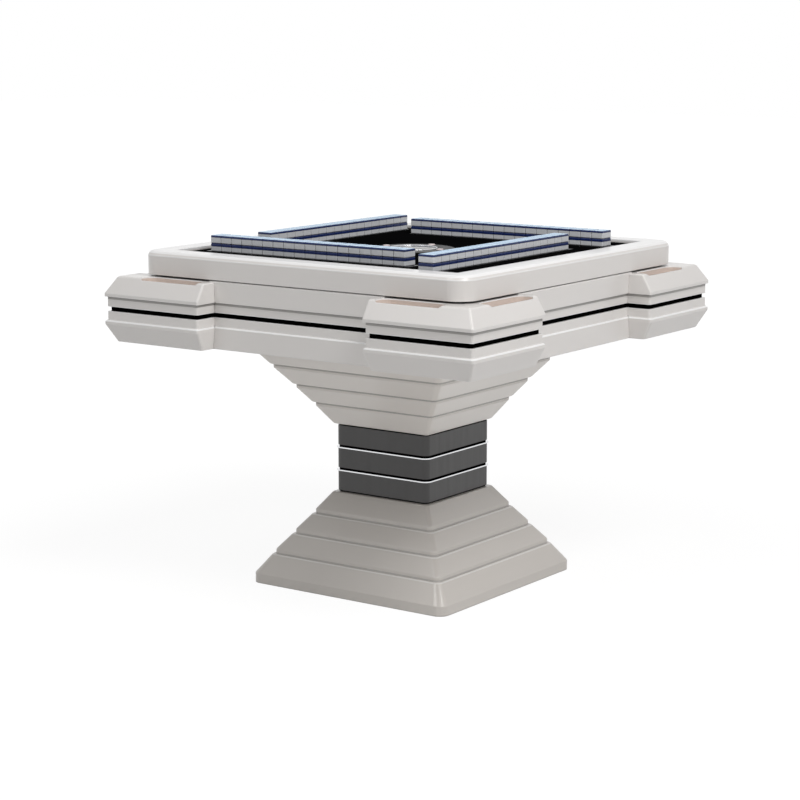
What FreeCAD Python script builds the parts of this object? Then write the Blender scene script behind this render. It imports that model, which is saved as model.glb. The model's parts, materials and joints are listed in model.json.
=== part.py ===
import FreeCAD, Part
import math
import os

from FreeCAD import Rotation, Vector

# Automatic mahjong table on a square pedestal. Millimetres, +Z up, the origin on the floor
# under the middle of the table. The front is -Y, the right is +X, and sizes called half are
# half-widths of a square about the vertical axis.

# Fits and clearances
overrun = 2.0
seat_gap = 0.1
slip_gap = 0.2
part_gap = 0.3
running_gap = 0.05
same_height = 0.001
ease_steps = 3

# Base: rubber pads, steel plate and stepped cover
pad_radius = 22.0
pad_height = 5.0
pad_inset = 38.0
base_plate_thick = 6.0
cover_floor_gap = 1.0
base_wall = 2.6
plinth_half = 267.0
plinth_height = 23.1
plinth_slope_run = 32.0
plinth_slope_rise = 43.1
base_step_runs = (28.2, 28.1, 29.6)
base_step_rises = (35.6, 35.6, 40.4)
base_ledge = 5.2
base_lip = 10.0
base_corner_share = 0.09
base_tier_corner_share = 0.06
base_ease = 4.0
base_lip_ease = 6.0

# Column: square steel post, black liner, grey panels and bright bands
post_half = 60.0
post_wall = 4.0
foot_flange_half = 115.0
foot_flange_thick = 8.0
head_flange_half = 110.0
head_flange_thick = 6.0
flange_bolt_inset = 22.0
bolt_radius = 5.0
bolt_head_width = 17.0
bolt_head_height = 6.4
bolt_clearance = 0.3
column_height = 158.0
liner_half = 124.0
liner_wall = 3.0
panel_half = 126.9
band_half = 130.4
column_corner = 11.0
band_height = 2.8
band_gap_below = 0.8
band_gap_above = 4.4
column_seam = 3.2

# Housing: its height above the floor, then the heights of its parts from the bottom up
housing_bottom = 568.0
skirt_slope_height = 40.1
skirt_edge_height = 6.6
ledge_rise = 3.9
lower_band_height = 22.3
groove_height = 10.4
upper_band_height = 22.6
lip_height = 7.0
box_slope_height = 37.9
panel_top_rise = 2.5
housing_wall = 3.2
plateau_ease = 2.4

# Cowl: inverted steps from the housing down to the column
cowl_first_half = 235.6
cowl_first_drop = 63.5
cowl_first_slope_share = 0.78
cowl_step_runs = (32.2, 26.8, 30.1)
cowl_step_shares = (0.335, 0.304, 0.361)
cowl_ledge = 5.0
cowl_lip = 8.0
cowl_lip_ease = 3.0
cowl_wall = 3.0
cowl_ease = 8.0
cowl_corner_share = 0.055

# Side panels
side_half = 436.3
band_step = 4.8
strip_recess = 6.0
strip_thick = 1.8
panel_foot_inset = 13.0
panel_overlap = 15.8

# Corner boxes, each a square block that stands out past the side panels
box_stand_out = 57.7
box_foot_inset = 19.8
box_plateau_inset = 22.1
box_return = 220.0
box_foot_setback = 6.5
box_skirt_setback = 1.5
box_corner = 5.0
pocket_inner_gap = 1.7
pocket_outer_inset = 19.4
pocket_setback = 18.0
pocket_length = 164.0
pocket_depth = 30.0
pocket_wall = 2.6
pocket_outer_corner = 6.0
pocket_inner_corner = 20.0

# Chassis
frame_clearance = 21.3
frame_corner = 38.0
rail_width = 30.0
rail_height = 27.0
rail_wall = 2.0
frame_top_drop = 4.5
top_rail_height = 25.0
centre_rail_width = 40.0
drain_radius = 4.0
pan_thick = 1.5
pan_margin = 10.3
deck_thick = 3.0
deck_margin = 2.0
buffer_radius = 9.0
buffer_offset = 180.0

# Table top: rim, board and cloth
rim_inset = 0.1
rim_gap = 2.0
rim_side_height = 42.8
rim_edge_runs = (2.6, 6.2, 10.5)
rim_edge_rises = (4.2, 7.9, 9.3)
rim_crown_height = 9.8
rim_crown_inset = 45.2
rim_width = 57.8
rim_inner_fall = 1.4
rim_inner_slope = 1.0
rim_corner = 45.0
rim_crown_corner = 14.0
rim_inner_corner = 2.5
rim_wall = 4.0
cloth_drop = 8.5
cloth_thick = 1.5
board_thick = 16.5
board_fit = 0.3
top_lift_travel = 150.0

# Tiles and their lifts
tile_depth = 39.2
tile_width = 29.75
tile_thick = 18.0
tile_ease = 2.2
tile_gap = 0.1
tiles_per_row = 18
wall_distance = 283.2
wall_offset = -76.0
wall_shifts = (1.0, -7.8, 9.5, -6.6)
wall_moves_out = (0.0, -2.5, 11.5, 0.0)
lift_margin = 1.4
lift_end_margin = 11.0
lift_thick = 8.0
lift_travel = 60.0
slot_gap = 1.2
guide_rod_radius = 5.0
guide_rod_spread = 200.0
guide_width = 24.0
guide_headroom = 4.0
rod_engagement = 24.0
push_rod_radius = 7.0
actuator_width = 34.0
lift_motor_length = 42.0
lift_motor_width = 40.0
lift_motor_height = 48.0
lift_motor_ease = 6.0

# Drum and turntable
guide_flange_radius = 60.0
guide_flange_thick = 6.0
guide_tube_radius = 26.0
thrust_seat_radius = 38.0
thrust_seat_height = 23.0
guide_tube_height = 87.0
column_tube_radius = 22.0
column_tube_wall = 4.0
column_tube_foot = 3.0
disc_radius = 214.0
disc_thick = 5.0
disc_drop = 8.0
hub_radius = 44.0
hub_height = 52.0
cone_radius = 72.0
skirt_radius = 205.0
skirt_wall = 6.0
skirt_depth = 22.0
paddle_count = 6
paddle_width = 8.0
paddle_height = 5.0
paddle_inner = 95.0
paddle_outer = 200.0
drum_inner_radius = 218.0
drum_wall_thick = 3.0
drum_top_gap = 3.5
drum_leg_width = 20.0
drum_leg_thick = 6.0
drum_leg_angle = 20.0
roller_radius = 20.0
roller_width = 16.0
roller_shaft_radius = 5.0
roller_angle = -20.0
roller_lift = 2.0
motor_radius = 26.0
motor_flange = 32.0
motor_flange_thick = 4.0
motor_depth = 26.0
wheel_radius = 45.0
wheel_width = 24.0
wheel_distance = 246.0
wheel_disc_gap = 5.0
wheel_window = 32.0
wheel_ease = 3.0
magnet_count = 8
magnet_radius = 5.0
magnet_depth = 2.0
magnet_ring_share = 0.72
wheel_shaft_radius = 4.0
wheel_motor_radius = 18.0
wheel_motor_length = 45.0
wheel_motor_gap = 4.0
wheel_motor_post = 24.0
shaft_engagement = 20.0

# Conveyors between the drum and the tile lifts
conveyor_width = 40.0
conveyor_belt_width = 28.0
conveyor_length = 110.0
conveyor_height = 14.0
conveyor_centre = 228.0
conveyor_start = 226.0
conveyor_plate = 5.0
belt_thick = 1.5
belt_top_drop = 2.0

# Electrical pieces on the deck and the inlet under the housing
control_length = 150.0
control_width = 58.0
control_thick = 1.6
control_standoff = 8.0
control_standoff_radius = 3.0
control_inset = 63.0
control_y = -115.0
supply_length = 100.0
supply_width = 56.0
supply_height = 42.0
supply_x = -110.0
supply_clearance = 5.0
inlet_x = -110.0
inlet_inset = 70.0
inlet_flange_length = 62.0
inlet_flange_width = 34.0
inlet_flange_thick = 2.0
inlet_body_length = 54.0
inlet_body_width = 27.0
inlet_body_height = 22.0
socket_length = 24.0
socket_width = 17.0
socket_depth = 20.0
socket_offset = 13.0
socket_pin_length = 13.5
socket_pin_thick = 2.0
socket_pin_width = 4.0
socket_pin_spacing = 7.0
rocker_length = 15.0
rocker_width = 11.0
rocker_offset = -15.0
rocker_depth = 8.0
rocker_throw = 15.5
rocker_pivot_radius = 1.6
rocker_pivot_depth = 2.6

# Centre console
console_radius = 95.0
console_hole_gap = 2.0
console_body_depth = 22.0
console_shoulder = 0.6
console_crown = 1.6
console_groove = 1.0
console_slope_run = 10.0
console_ring_radius = 56.0
console_well_radius = 50.0
console_well_depth = 16.0
console_floor = 4.0
dome_radius = 53.0
dome_seat_depth = 2.5
dome_crown = 2.4
dome_wall = 1.4
dice_plate_radius = 47.0
dice_plate_thick = 2.0
dice_spindle_radius = 3.0
dice_size = 11.0
dice_ease = 1.2
dice_spread = 11.0
dice_turn = 27.0
button_radius = 8.0
button_distance = 74.0
button_height = 9.0
button_proud = 2.3
button_travel = 1.8
button_ease = 1.4


def save(node, shape):
    shape.exportStep("parts/" + node + ".step")


def block(x0, x1, y0, y1, z0, z1):
    return Part.makeBox(x1 - x0, y1 - y0, z1 - z0, Vector(x0, y0, z0))


def square_block(half, z0, z1):
    return block(-half, half, -half, half, z0, z1)


def rod(x, y, z0, z1, radius):
    return Part.makeCylinder(radius, z1 - z0, Vector(x, y, z0))


def quarter_turned(shape, turns):
    """A copy of a shape turned by quarter turns about the vertical axis."""
    copy = shape.copy()
    copy.rotate(Vector(0, 0, 0), Vector(0, 0, 1), 90 * turns)
    return copy


def turned(shape, degrees):
    copy = shape.copy()
    copy.rotate(Vector(0, 0, 0), Vector(0, 0, 1), degrees)
    return copy


def fused(shapes):
    return shapes[0].multiFuse(shapes[1:]).removeSplitter()


def outline(x0, x1, y0, y1, z, radius):
    """Closed rectangle with rounded corners, at one height."""
    bow = radius * (1 - math.sqrt(0.5))
    near = [Vector(x0 + radius, y0, z), Vector(x1 - radius, y0, z)]
    right = [Vector(x1, y0 + radius, z), Vector(x1, y1 - radius, z)]
    far = [Vector(x1 - radius, y1, z), Vector(x0 + radius, y1, z)]
    left = [Vector(x0, y1 - radius, z), Vector(x0, y0 + radius, z)]
    return Part.Wire([
        Part.makeLine(near[0], near[1]),
        Part.Arc(near[1], Vector(x1 - bow, y0 + bow, z), right[0]).toShape(),
        Part.makeLine(right[0], right[1]),
        Part.Arc(right[1], Vector(x1 - bow, y1 - bow, z), far[0]).toShape(),
        Part.makeLine(far[0], far[1]),
        Part.Arc(far[1], Vector(x0 + bow, y1 - bow, z), left[0]).toShape(),
        Part.makeLine(left[0], left[1]),
        Part.Arc(left[1], Vector(x0 + bow, y0 + bow, z), near[0]).toShape(),
    ])


def square_outline(half, z, radius):
    return outline(-half, half, -half, half, z, radius)


def rounded_prism(half, z0, z1, radius):
    face = Part.Face(square_outline(half, z0, radius))
    return face.extrude(Vector(0, 0, z1 - z0))


def stacked(wires):
    """Solid with straight walls from each outline to the next, and flat ledges between
    outlines at one height."""
    runs = [[wires[0]]]
    for wire in wires[1:]:
        rise = wire.BoundBox.ZMin - runs[-1][-1].BoundBox.ZMin
        if abs(rise) < same_height:
            runs.append([wire])
        else:
            runs[-1].append(wire)
    solids = [Part.makeLoft(run, True, True) for run in runs if len(run) > 1]
    return solids[0].multiFuse(solids[1:]) if len(solids) > 1 else solids[0]


def eased(corners):
    """Profile of (half, height) points whose corners are rounded by the third value."""
    points = []
    for i, (half, z, radius) in enumerate(corners):
        if radius == 0:
            points.append((half, z))
            continue
        here = Vector(half, z, 0)
        before = Vector(corners[i - 1][0], corners[i - 1][1], 0) - here
        after = Vector(corners[i + 1][0], corners[i + 1][1], 0) - here
        before.normalize()
        after.normalize()
        angle = before.getAngle(after)
        reach = radius / math.tan(angle / 2)
        middle = (before + after).normalize()
        centre = here + middle * (radius / math.sin(angle / 2))
        start = here + before * reach - centre
        end = here + after * reach - centre
        sweep = math.pi - angle
        for step in range(ease_steps + 1):
            share = step / ease_steps
            blend = start * math.sin((1 - share) * sweep) + end * math.sin(share * sweep)
            point = centre + blend * (1 / math.sin(sweep))
            points.append((point.x, point.y))
    return points


def profile_solid(points, along_low, along_high):
    """Profile of (distance from the axis, height) points, extruded along X on the front side."""
    wire = Part.makePolygon([Vector(along_low, -half, z) for half, z in points + points[:1]])
    return Part.Face(wire).extrude(Vector(along_high - along_low, 0, 0))


def hexagon_bolt(x, y, head_z, head_up, shank_end):
    """Hexagon head on one side of head_z and a shank to shank_end on the other."""
    direction = 1 if head_up else -1
    corner = bolt_head_width / math.sqrt(3)
    points = []
    for i in range(7):
        angle = math.radians(60 * i)
        points.append(Vector(x + corner * math.cos(angle), y + corner * math.sin(angle), head_z))
    head = Part.Face(Part.makePolygon(points)).extrude(Vector(0, 0, direction * bolt_head_height))
    shank = rod(x, y, min(head_z, shank_end), max(head_z, shank_end), bolt_radius)
    return fused([head, shank])


# Widths and heights that follow from the sizes above
skirt_knee = housing_bottom + skirt_slope_height
skirt_top = skirt_knee + skirt_edge_height
groove_bottom = skirt_top + lower_band_height
groove_top = groove_bottom + groove_height
lip_bottom = groove_top + upper_band_height
lip_top = lip_bottom + lip_height
plateau = lip_top + box_slope_height
panel_top = plateau + panel_top_rise
rim_bottom = panel_top + rim_gap
rim_shoulder = rim_bottom + rim_side_height
rim_crown = rim_shoulder + rim_crown_height
cloth_top = rim_crown - cloth_drop
box_half = side_half + box_stand_out
box_foot_half = box_half - box_foot_inset
box_plateau_half = box_half - box_plateau_inset
box_foot_return = box_return + box_foot_setback
box_skirt_return = box_return + box_skirt_setback
box_band_return = box_return + band_step
panel_end = box_return + panel_overlap
pocket_inner = side_half + pocket_inner_gap
pocket_outer = box_half - pocket_outer_inset
pocket_start = box_return + pocket_setback
pocket_end = pocket_start + pocket_length
frame_half = side_half - frame_clearance
panel_foot_half = frame_half - panel_foot_inset
pan_half = side_half - pan_margin
rim_half = side_half - rim_inset
rim_crown_half = rim_half - rim_crown_inset
rim_inner_half = rim_half - rim_width
control_x = control_inset - frame_half
supply_y = frame_half - rail_width - supply_clearance - supply_width / 2
inlet_y = frame_half - inlet_inset
pan_bottom = housing_bottom + housing_wall + seat_gap
frame_bottom = pan_bottom + pan_thick
deck_bottom = frame_bottom + rail_height
deck_top = deck_bottom + deck_thick
cloth_bottom = cloth_top - cloth_thick
board_bottom = cloth_bottom - board_thick
frame_top = board_bottom - frame_top_drop
base_plate_top = pad_height + base_plate_thick
board_half = rim_half - rim_wall - board_fit
board_corner = rim_corner - rim_wall - board_fit
lift_top = cloth_top
lift_bottom = lift_top - lift_thick
guide_top = lift_bottom - lift_travel - guide_headroom
wall_length = tiles_per_row * tile_width
lift_half_width = tile_depth / 2 + lift_margin
lift_half_length = wall_length / 2 + lift_end_margin


def base_profile():
    """Outer profile of the base cover from the floor up, as (half, height, rounding)."""
    corners = [(plinth_half, cover_floor_gap, 0), (plinth_half, plinth_height, base_ease)]
    half = plinth_half - plinth_slope_run
    z = plinth_height + plinth_slope_rise
    corners.append((half, z, base_ease))
    for run, rise in zip(base_step_runs, base_step_rises):
        half = half - base_ledge
        corners.append((half, z, 0))
        z = z + base_lip
        corners.append((half, z, base_lip_ease))
        half = half - run
        z = z + rise
        corners.append((half, z, base_ease))
    corners.append((half - base_ledge, z, 0))
    return corners


def base_corner(half):
    """Plan corner radius of the base cover, wide on the plinth and tight on its tiers."""
    on_slope = max(0, 1 - (plinth_half - half) / plinth_slope_run)
    blend = base_tier_corner_share + (base_corner_share - base_tier_corner_share) * on_slope
    return half * blend


def make_base():
    pads = []
    reach = plinth_half - pad_inset
    for x in (-reach, reach):
        for y in (-reach, reach):
            pads.append(rod(x, y, 0, pad_height, pad_radius))
    save("foot_pads", Part.makeCompound(pads))

    plate = rounded_prism(plinth_half - base_wall - overrun, pad_height, base_plate_top,
                          plinth_half * base_corner_share)
    for x, y in foot_bolt_places():
        plate = plate.cut(rod(x, y, 0, base_plate_top + overrun, bolt_radius + bolt_clearance))
    save("base_plate", plate)

    profile = eased(base_profile())
    outer = stacked([square_outline(half, z, base_corner(half)) for half, z in profile])
    inner_wires = [square_outline(plinth_half - base_wall, cover_floor_gap - overrun,
                                  base_corner(plinth_half) - base_wall)]
    for half, z in profile[1:]:
        inner_wires.append(square_outline(half - base_wall, z - base_wall,
                                          base_corner(half) - base_wall))
    cover = outer.cut(stacked(inner_wires))
    top = profile[-1][1]
    cover = cover.cut(square_block(post_half + part_gap, top - base_wall - overrun, top + overrun))
    save("base_cover", cover)
    return top


def foot_bolt_places():
    reach = foot_flange_half - flange_bolt_inset
    return [(x, y) for x in (-reach, reach) for y in (-reach, reach)]


def head_bolt_places():
    """Bolts under the chassis's two middle rails."""
    reach = head_flange_half - flange_bolt_inset
    return [(-reach, 0), (reach, 0), (0, -reach), (0, reach)]


def make_post():
    tube = square_block(post_half, base_plate_top, frame_bottom)
    tube = tube.cut(square_block(post_half - post_wall, base_plate_top - overrun,
                                 frame_bottom + overrun))
    foot = square_block(foot_flange_half, base_plate_top, base_plate_top + foot_flange_thick)
    head = square_block(head_flange_half, frame_bottom - head_flange_thick, frame_bottom)
    core = square_block(post_half - post_wall, base_plate_top - overrun, frame_bottom + overrun)
    post = fused([tube, foot.cut(core), head.cut(core)])
    clear = bolt_radius + bolt_clearance
    bolts = []
    for x, y in foot_bolt_places():
        top = base_plate_top + foot_flange_thick
        post = post.cut(rod(x, y, base_plate_top - overrun, top + overrun, clear))
        bolts.append(hexagon_bolt(x, y, top, True, pad_height))
    for x, y in head_bolt_places():
        bottom = frame_bottom - head_flange_thick
        post = post.cut(rod(x, y, bottom - overrun, frame_bottom + overrun, clear))
        bolts.append(hexagon_bolt(x, y, bottom, False, frame_bottom + bolt_head_width))
    save("column_post", post)
    save("flange_bolts", Part.makeCompound(bolts))


def make_column(bottom):
    """Black liner with three grey panels and two bright bands around it."""
    top = bottom + column_height
    liner = rounded_prism(liner_half, bottom, top, column_corner)
    liner = liner.cut(rounded_prism(liner_half - liner_wall, bottom - overrun, top + overrun,
                                    column_corner - liner_wall))
    save("column_liner", liner)

    def ring(half, z0, z1):
        corner = column_corner + half - liner_half
        body = rounded_prism(half, z0, z1, corner)
        hole = rounded_prism(liner_half + slip_gap, z0 - overrun, z1 + overrun,
                             column_corner + slip_gap)
        return body.cut(hole)

    band_room = band_gap_below + band_height + band_gap_above
    panel_height = (column_height - 2 * column_seam - 2 * band_room) / 3
    panels = []
    bands = []
    z = bottom + column_seam
    for i in range(3):
        panels.append(ring(panel_half, z, z + panel_height))
        z = z + panel_height
        if i < 2:
            bands.append(ring(band_half, z + band_gap_below, z + band_gap_below + band_height))
            z = z + band_room
    save("column_panels", Part.makeCompound(panels))
    save("column_bands", Part.makeCompound(bands))
    return top


def make_cowl(bottom):
    top = pan_bottom - seat_gap
    first_z = top - cowl_first_drop
    first_top_half = cowl_first_half + cowl_first_drop * cowl_first_slope_share
    corners = [(first_top_half, top, 0), (cowl_first_half, first_z, cowl_ease)]
    half = cowl_first_half
    z = first_z
    for run, share in zip(cowl_step_runs, cowl_step_shares):
        half = half - cowl_ledge
        corners.append((half, z, 0))
        corners.append((half, z - cowl_lip, cowl_lip_ease))
        half = half - run
        z = z - (first_z - bottom) * share
        corners.append((half, z, cowl_ease))
    corners.append((half - cowl_ledge, z, 0))
    profile = eased(corners)
    outer = stacked([square_outline(h, level, h * cowl_corner_share) for h, level in profile])
    inner_wires = []
    for h, level in [(profile[0][0], profile[0][1] + overrun)] + profile[1:]:
        inner_wires.append(square_outline(h - cowl_wall, level + cowl_wall,
                                          h * cowl_corner_share - cowl_wall))
    cowl = outer.cut(stacked(inner_wires))
    cowl = cowl.cut(square_block(post_half + part_gap, bottom - overrun,
                                 bottom + cowl_wall + overrun))
    save("under_cowl", cowl)


def make_chassis():
    """Welded frame of square tubes, hollow all through and drained at one place."""

    def bars(inset, grow):
        low = frame_bottom + inset
        rail_top = deck_bottom - inset
        half = frame_half - inset
        inner = frame_half - rail_width + inset
        shapes = []
        for z0, z1 in ((low, rail_top), (frame_top - top_rail_height + inset, frame_top - inset)):
            ring = square_block(half, z0, z1).cut(square_block(inner, z0 - grow, z1 + grow))
            shapes.append(ring)
        post = block(inner, half, inner, half, low, frame_top - inset)
        for turn in range(4):
            shapes.append(quarter_turned(post, turn))
        offsets = [(-wall_distance, rail_width), (0, centre_rail_width), (wall_distance, rail_width)]
        for offset, width in offsets:
            reach = width / 2 - inset
            shapes.append(block(offset - reach, offset + reach, -half, half, low, rail_top))
            shapes.append(block(-half, half, offset - reach, offset + reach, low, rail_top))
        joined = fused(shapes)
        return joined.common(rounded_prism(half, low - grow, frame_top + grow,
                                           frame_corner - inset))

    frame = bars(0, overrun).cut(bars(rail_wall, overrun))
    frame = frame.cut(rod(0, frame_half - rail_width / 2, frame_bottom - overrun,
                          frame_bottom + rail_wall + overrun, drain_radius))
    for x, y in head_bolt_places():
        frame = frame.cut(rod(x, y, frame_bottom - overrun, frame_bottom + rail_wall + overrun,
                              bolt_radius + bolt_clearance))
    save("chassis_frame", frame)

    pan = rounded_prism(pan_half, pan_bottom, frame_bottom, frame_corner)
    pan = pan.cut(square_block(head_flange_half + part_gap, pan_bottom - overrun,
                               frame_bottom + overrun))
    cut_x = inlet_body_length / 2 + part_gap
    cut_y = inlet_body_width / 2 + part_gap
    pan = pan.cut(block(inlet_x - cut_x, inlet_x + cut_x, inlet_y - cut_y, inlet_y + cut_y,
                        pan_bottom - overrun, frame_bottom + overrun))
    save("bottom_pan", pan)

    deck_half = frame_half - deck_margin
    post_edge = frame_half - rail_width - part_gap
    deck = square_block(deck_half, deck_bottom, deck_top)
    corner = block(post_edge, frame_half, post_edge, frame_half, deck_bottom - overrun,
                   deck_top + overrun)
    for turn in range(4):
        deck = deck.cut(quarter_turned(corner, turn))
    motor_x, motor_y = roller_place()
    deck = deck.cut(rod(motor_x, motor_y, deck_bottom - overrun, deck_top + overrun,
                        motor_radius + part_gap))
    save("machine_deck", deck)

    buffers = []
    for turn in range(4):
        for along in (-buffer_offset, buffer_offset):
            buffer = rod(along, frame_half - rail_width / 2, frame_top, board_bottom, buffer_radius)
            buffers.append(quarter_turned(buffer, turn))
    save("top_buffers", Part.makeCompound(buffers))


def make_side_panels():
    inner_half = frame_half + part_gap
    band_half_here = side_half - band_step
    groove_half = band_half_here - strip_recess - strip_thick
    wall = housing_wall
    ease = plateau_ease
    outer = [
        (inner_half, panel_top), (side_half - ease, panel_top), (side_half, panel_top - ease),
        (side_half, lip_bottom), (band_half_here, lip_bottom),
        (band_half_here, groove_top), (groove_half, groove_top),
        (groove_half, groove_bottom), (band_half_here, groove_bottom),
        (band_half_here, skirt_top + ledge_rise), (side_half, skirt_top),
        (side_half, housing_bottom),
        (panel_foot_half, housing_bottom),
    ]
    inner = [
        (panel_foot_half, housing_bottom + wall), (side_half - wall, housing_bottom + wall),
        (side_half - wall, skirt_top - wall),
        (band_half_here - wall, skirt_top + ledge_rise - wall),
        (band_half_here - wall, groove_bottom - wall), (inner_half, groove_bottom - wall),
        (inner_half, groove_top + wall), (band_half_here - wall, groove_top + wall),
        (band_half_here - wall, lip_bottom + wall), (side_half - wall, lip_bottom + wall),
        (side_half - wall, panel_top - wall), (inner_half, panel_top - wall),
    ]
    panel = profile_solid(outer + inner, -panel_end, panel_end)
    strip_half = groove_half + seat_gap
    strip = block(-panel_end, panel_end, -strip_half - strip_thick, -strip_half,
                  groove_bottom + seat_gap, groove_top - seat_gap)
    for turn, side in enumerate(("front", "right", "back", "left")):
        save("side_panel_" + side, quarter_turned(panel, turn))
    return [quarter_turned(strip, turn) for turn in range(4)]


def panel_room():
    """The space that the front side panel takes up between two corner boxes."""
    face = side_half + part_gap
    band = side_half - band_step + part_gap
    points = [
        (0, housing_bottom - overrun), (face, housing_bottom - overrun), (face, skirt_top),
        (band, skirt_top + ledge_rise), (band, lip_bottom), (face, lip_bottom),
        (face, panel_top + overrun), (0, panel_top + overrun),
    ]
    return profile_solid(points, -panel_end - slip_gap, panel_end + slip_gap)


def box_outline(outer, inner, z, radius):
    """Outline of a corner box in the corner between the front and the right side."""
    return outline(inner, outer, -outer, -inner, z, radius)


def box_levels(inset, floor_z, roof_z):
    """Outlines of a corner box, or of its hollow when inset is its wall."""
    band_half_here = box_half - band_step
    groove_half = band_half_here - strip_recess - strip_thick
    groove_return = box_band_return + strip_recess + strip_thick
    slope = (box_half - box_plateau_half) / (plateau - lip_top)
    roof_half = box_plateau_half + (plateau - roof_z) * slope
    levels = [
        (box_foot_half, box_foot_return, floor_z),
        (box_half, box_skirt_return, skirt_knee),
        (box_half, box_skirt_return, skirt_top - inset),
        (band_half_here, box_band_return, skirt_top + ledge_rise - inset),
        (band_half_here, box_band_return, groove_bottom - inset),
        (groove_half, groove_return, groove_bottom - inset),
        (groove_half, groove_return, groove_top + inset),
        (band_half_here, box_band_return, groove_top + inset),
        (band_half_here, box_band_return, lip_bottom + inset),
        (box_half, box_return, lip_bottom + inset),
        (box_half, box_return, lip_top),
        (roof_half + plateau_ease * slope, box_return, roof_z - plateau_ease),
        (roof_half - plateau_ease, box_return + plateau_ease, roof_z),
    ]
    corner = box_corner - inset
    wires = []
    for outer, inner, z in levels:
        wires.append(box_outline(outer - inset, inner + inset, z, corner))
    return wires


def pocket_solid(grow, z0, z1):
    """A pocket on the box's front side, its inner corners wide and its outer ones tight."""
    x0 = pocket_start - grow
    x1 = pocket_end + grow
    y0 = -pocket_outer - grow
    y1 = -pocket_inner + grow
    tight = Part.Face(outline(x0, x1, y0, y1, z0, pocket_outer_corner + grow))
    wide = Part.Face(outline(x0, x1, y0 - 2 * pocket_inner_corner, y1, z0,
                             pocket_inner_corner + grow))
    return tight.extrude(Vector(0, 0, z1 - z0)).common(wide.extrude(Vector(0, 0, z1 - z0)))


def make_corner_boxes():
    """Four hollow boxes, each with two open pockets in its top."""
    wall = housing_wall
    whole = stacked(box_levels(0, housing_bottom, plateau))
    hollow = stacked(box_levels(wall, housing_bottom + wall, plateau - wall))
    shell = whole.cut(hollow)

    floor = plateau - pocket_depth
    tub = pocket_solid(pocket_wall, floor - pocket_wall, plateau).common(whole)
    pocket = pocket_solid(0, floor, plateau + overrun)

    def mirrored(shape):
        """The same shape on the right side of the box instead of the front side."""
        return shape.mirror(Vector(0, 0, 0), Vector(1, 1, 0))

    shell = fused([shell, tub, mirrored(tub)])
    shell = shell.cut(pocket).cut(mirrored(pocket))

    inner_half = frame_half + part_gap
    shell = shell.cut(square_block(inner_half, housing_bottom + wall, plateau + overrun))
    shell = shell.cut(square_block(panel_foot_half, housing_bottom - overrun,
                                   housing_bottom + wall + overrun))
    room = panel_room()
    shell = shell.cut(room).cut(mirrored(room))
    names = ("front_right", "back_right", "back_left", "front_left")
    for turn, corner in enumerate(names):
        save("corner_box_" + corner, quarter_turned(shell, turn))

    band_half_here = box_half - band_step
    strip_outer = band_half_here - strip_recess
    strip_return = box_band_return + strip_recess
    z0 = groove_bottom + seat_gap
    z1 = groove_top - seat_gap
    outer = Part.Face(box_outline(strip_outer, strip_return, z0, box_corner - strip_thick))
    inner = Part.Face(box_outline(strip_outer - strip_thick + seat_gap,
                                  strip_return + strip_thick - seat_gap, z0,
                                  box_corner - strip_thick - strip_thick))
    strip = outer.cut(inner).extrude(Vector(0, 0, z1 - z0))
    panel_strip = side_half - band_step - strip_recess + seat_gap
    strip = strip.cut(square_block(panel_strip + part_gap, z0 - overrun, z1 + overrun))
    return [quarter_turned(strip, turn) for turn in range(4)]


def make_tabletop():
    wires = [square_outline(rim_half, z, rim_corner) for z in (rim_bottom, rim_shoulder)]
    for run, rise in zip(rim_edge_runs, rim_edge_rises):
        wires.append(square_outline(rim_half - run, rim_shoulder + rise, rim_corner - run))
    wires.append(square_outline(rim_crown_half, rim_crown, rim_crown_corner))
    rim = stacked(wires)
    rim = rim.cut(rounded_prism(rim_half - rim_wall, rim_bottom - overrun, cloth_top,
                                rim_corner - rim_wall))
    hole = stacked([
        square_outline(rim_inner_half - rim_inner_slope, cloth_top - overrun, rim_inner_corner),
        square_outline(rim_inner_half, rim_crown + overrun, rim_inner_corner),
    ])
    fall = stacked([
        square_outline(rim_inner_half - rim_inner_slope, rim_crown - rim_inner_fall,
                       rim_inner_corner),
        square_outline(rim_crown_half - rim_inner_slope, rim_crown, rim_inner_corner),
        square_outline(rim_crown_half - rim_inner_slope, rim_crown + overrun, rim_inner_corner),
    ])
    save("rim", rim.cut(hole).cut(fall))

    slots = []
    reach_x = lift_half_length + slot_gap
    reach_y = lift_half_width + slot_gap
    slot = block(wall_offset - reach_x, wall_offset + reach_x,
                 -wall_distance - reach_y, -wall_distance + reach_y,
                 board_bottom - overrun, cloth_top + overrun)
    for turn in range(4):
        slots.append(on_side(slot, turn, 0))
    slots.append(rod(0, 0, board_bottom - overrun, cloth_top + overrun,
                     console_radius + console_hole_gap))
    board = rounded_prism(board_half, board_bottom, cloth_bottom, board_corner)
    cloth = rounded_prism(board_half, cloth_bottom, cloth_top, board_corner)
    for slot in slots:
        board = board.cut(slot)
        cloth = cloth.cut(slot)
    save("table_board", board)
    save("playing_cloth", cloth)


def on_side(shape, turn, along):
    """A copy of a shape from the front wall at its place under or on another wall."""
    copy = shape.copy()
    copy.translate(Vector(along, -wall_moves_out[turn], 0))
    return quarter_turned(copy, turn)


def make_tile():
    tile = Part.makeBox(tile_width - tile_gap, tile_depth, tile_thick - tile_gap)
    return tile.makeFillet(tile_ease, tile.Edges)


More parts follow.
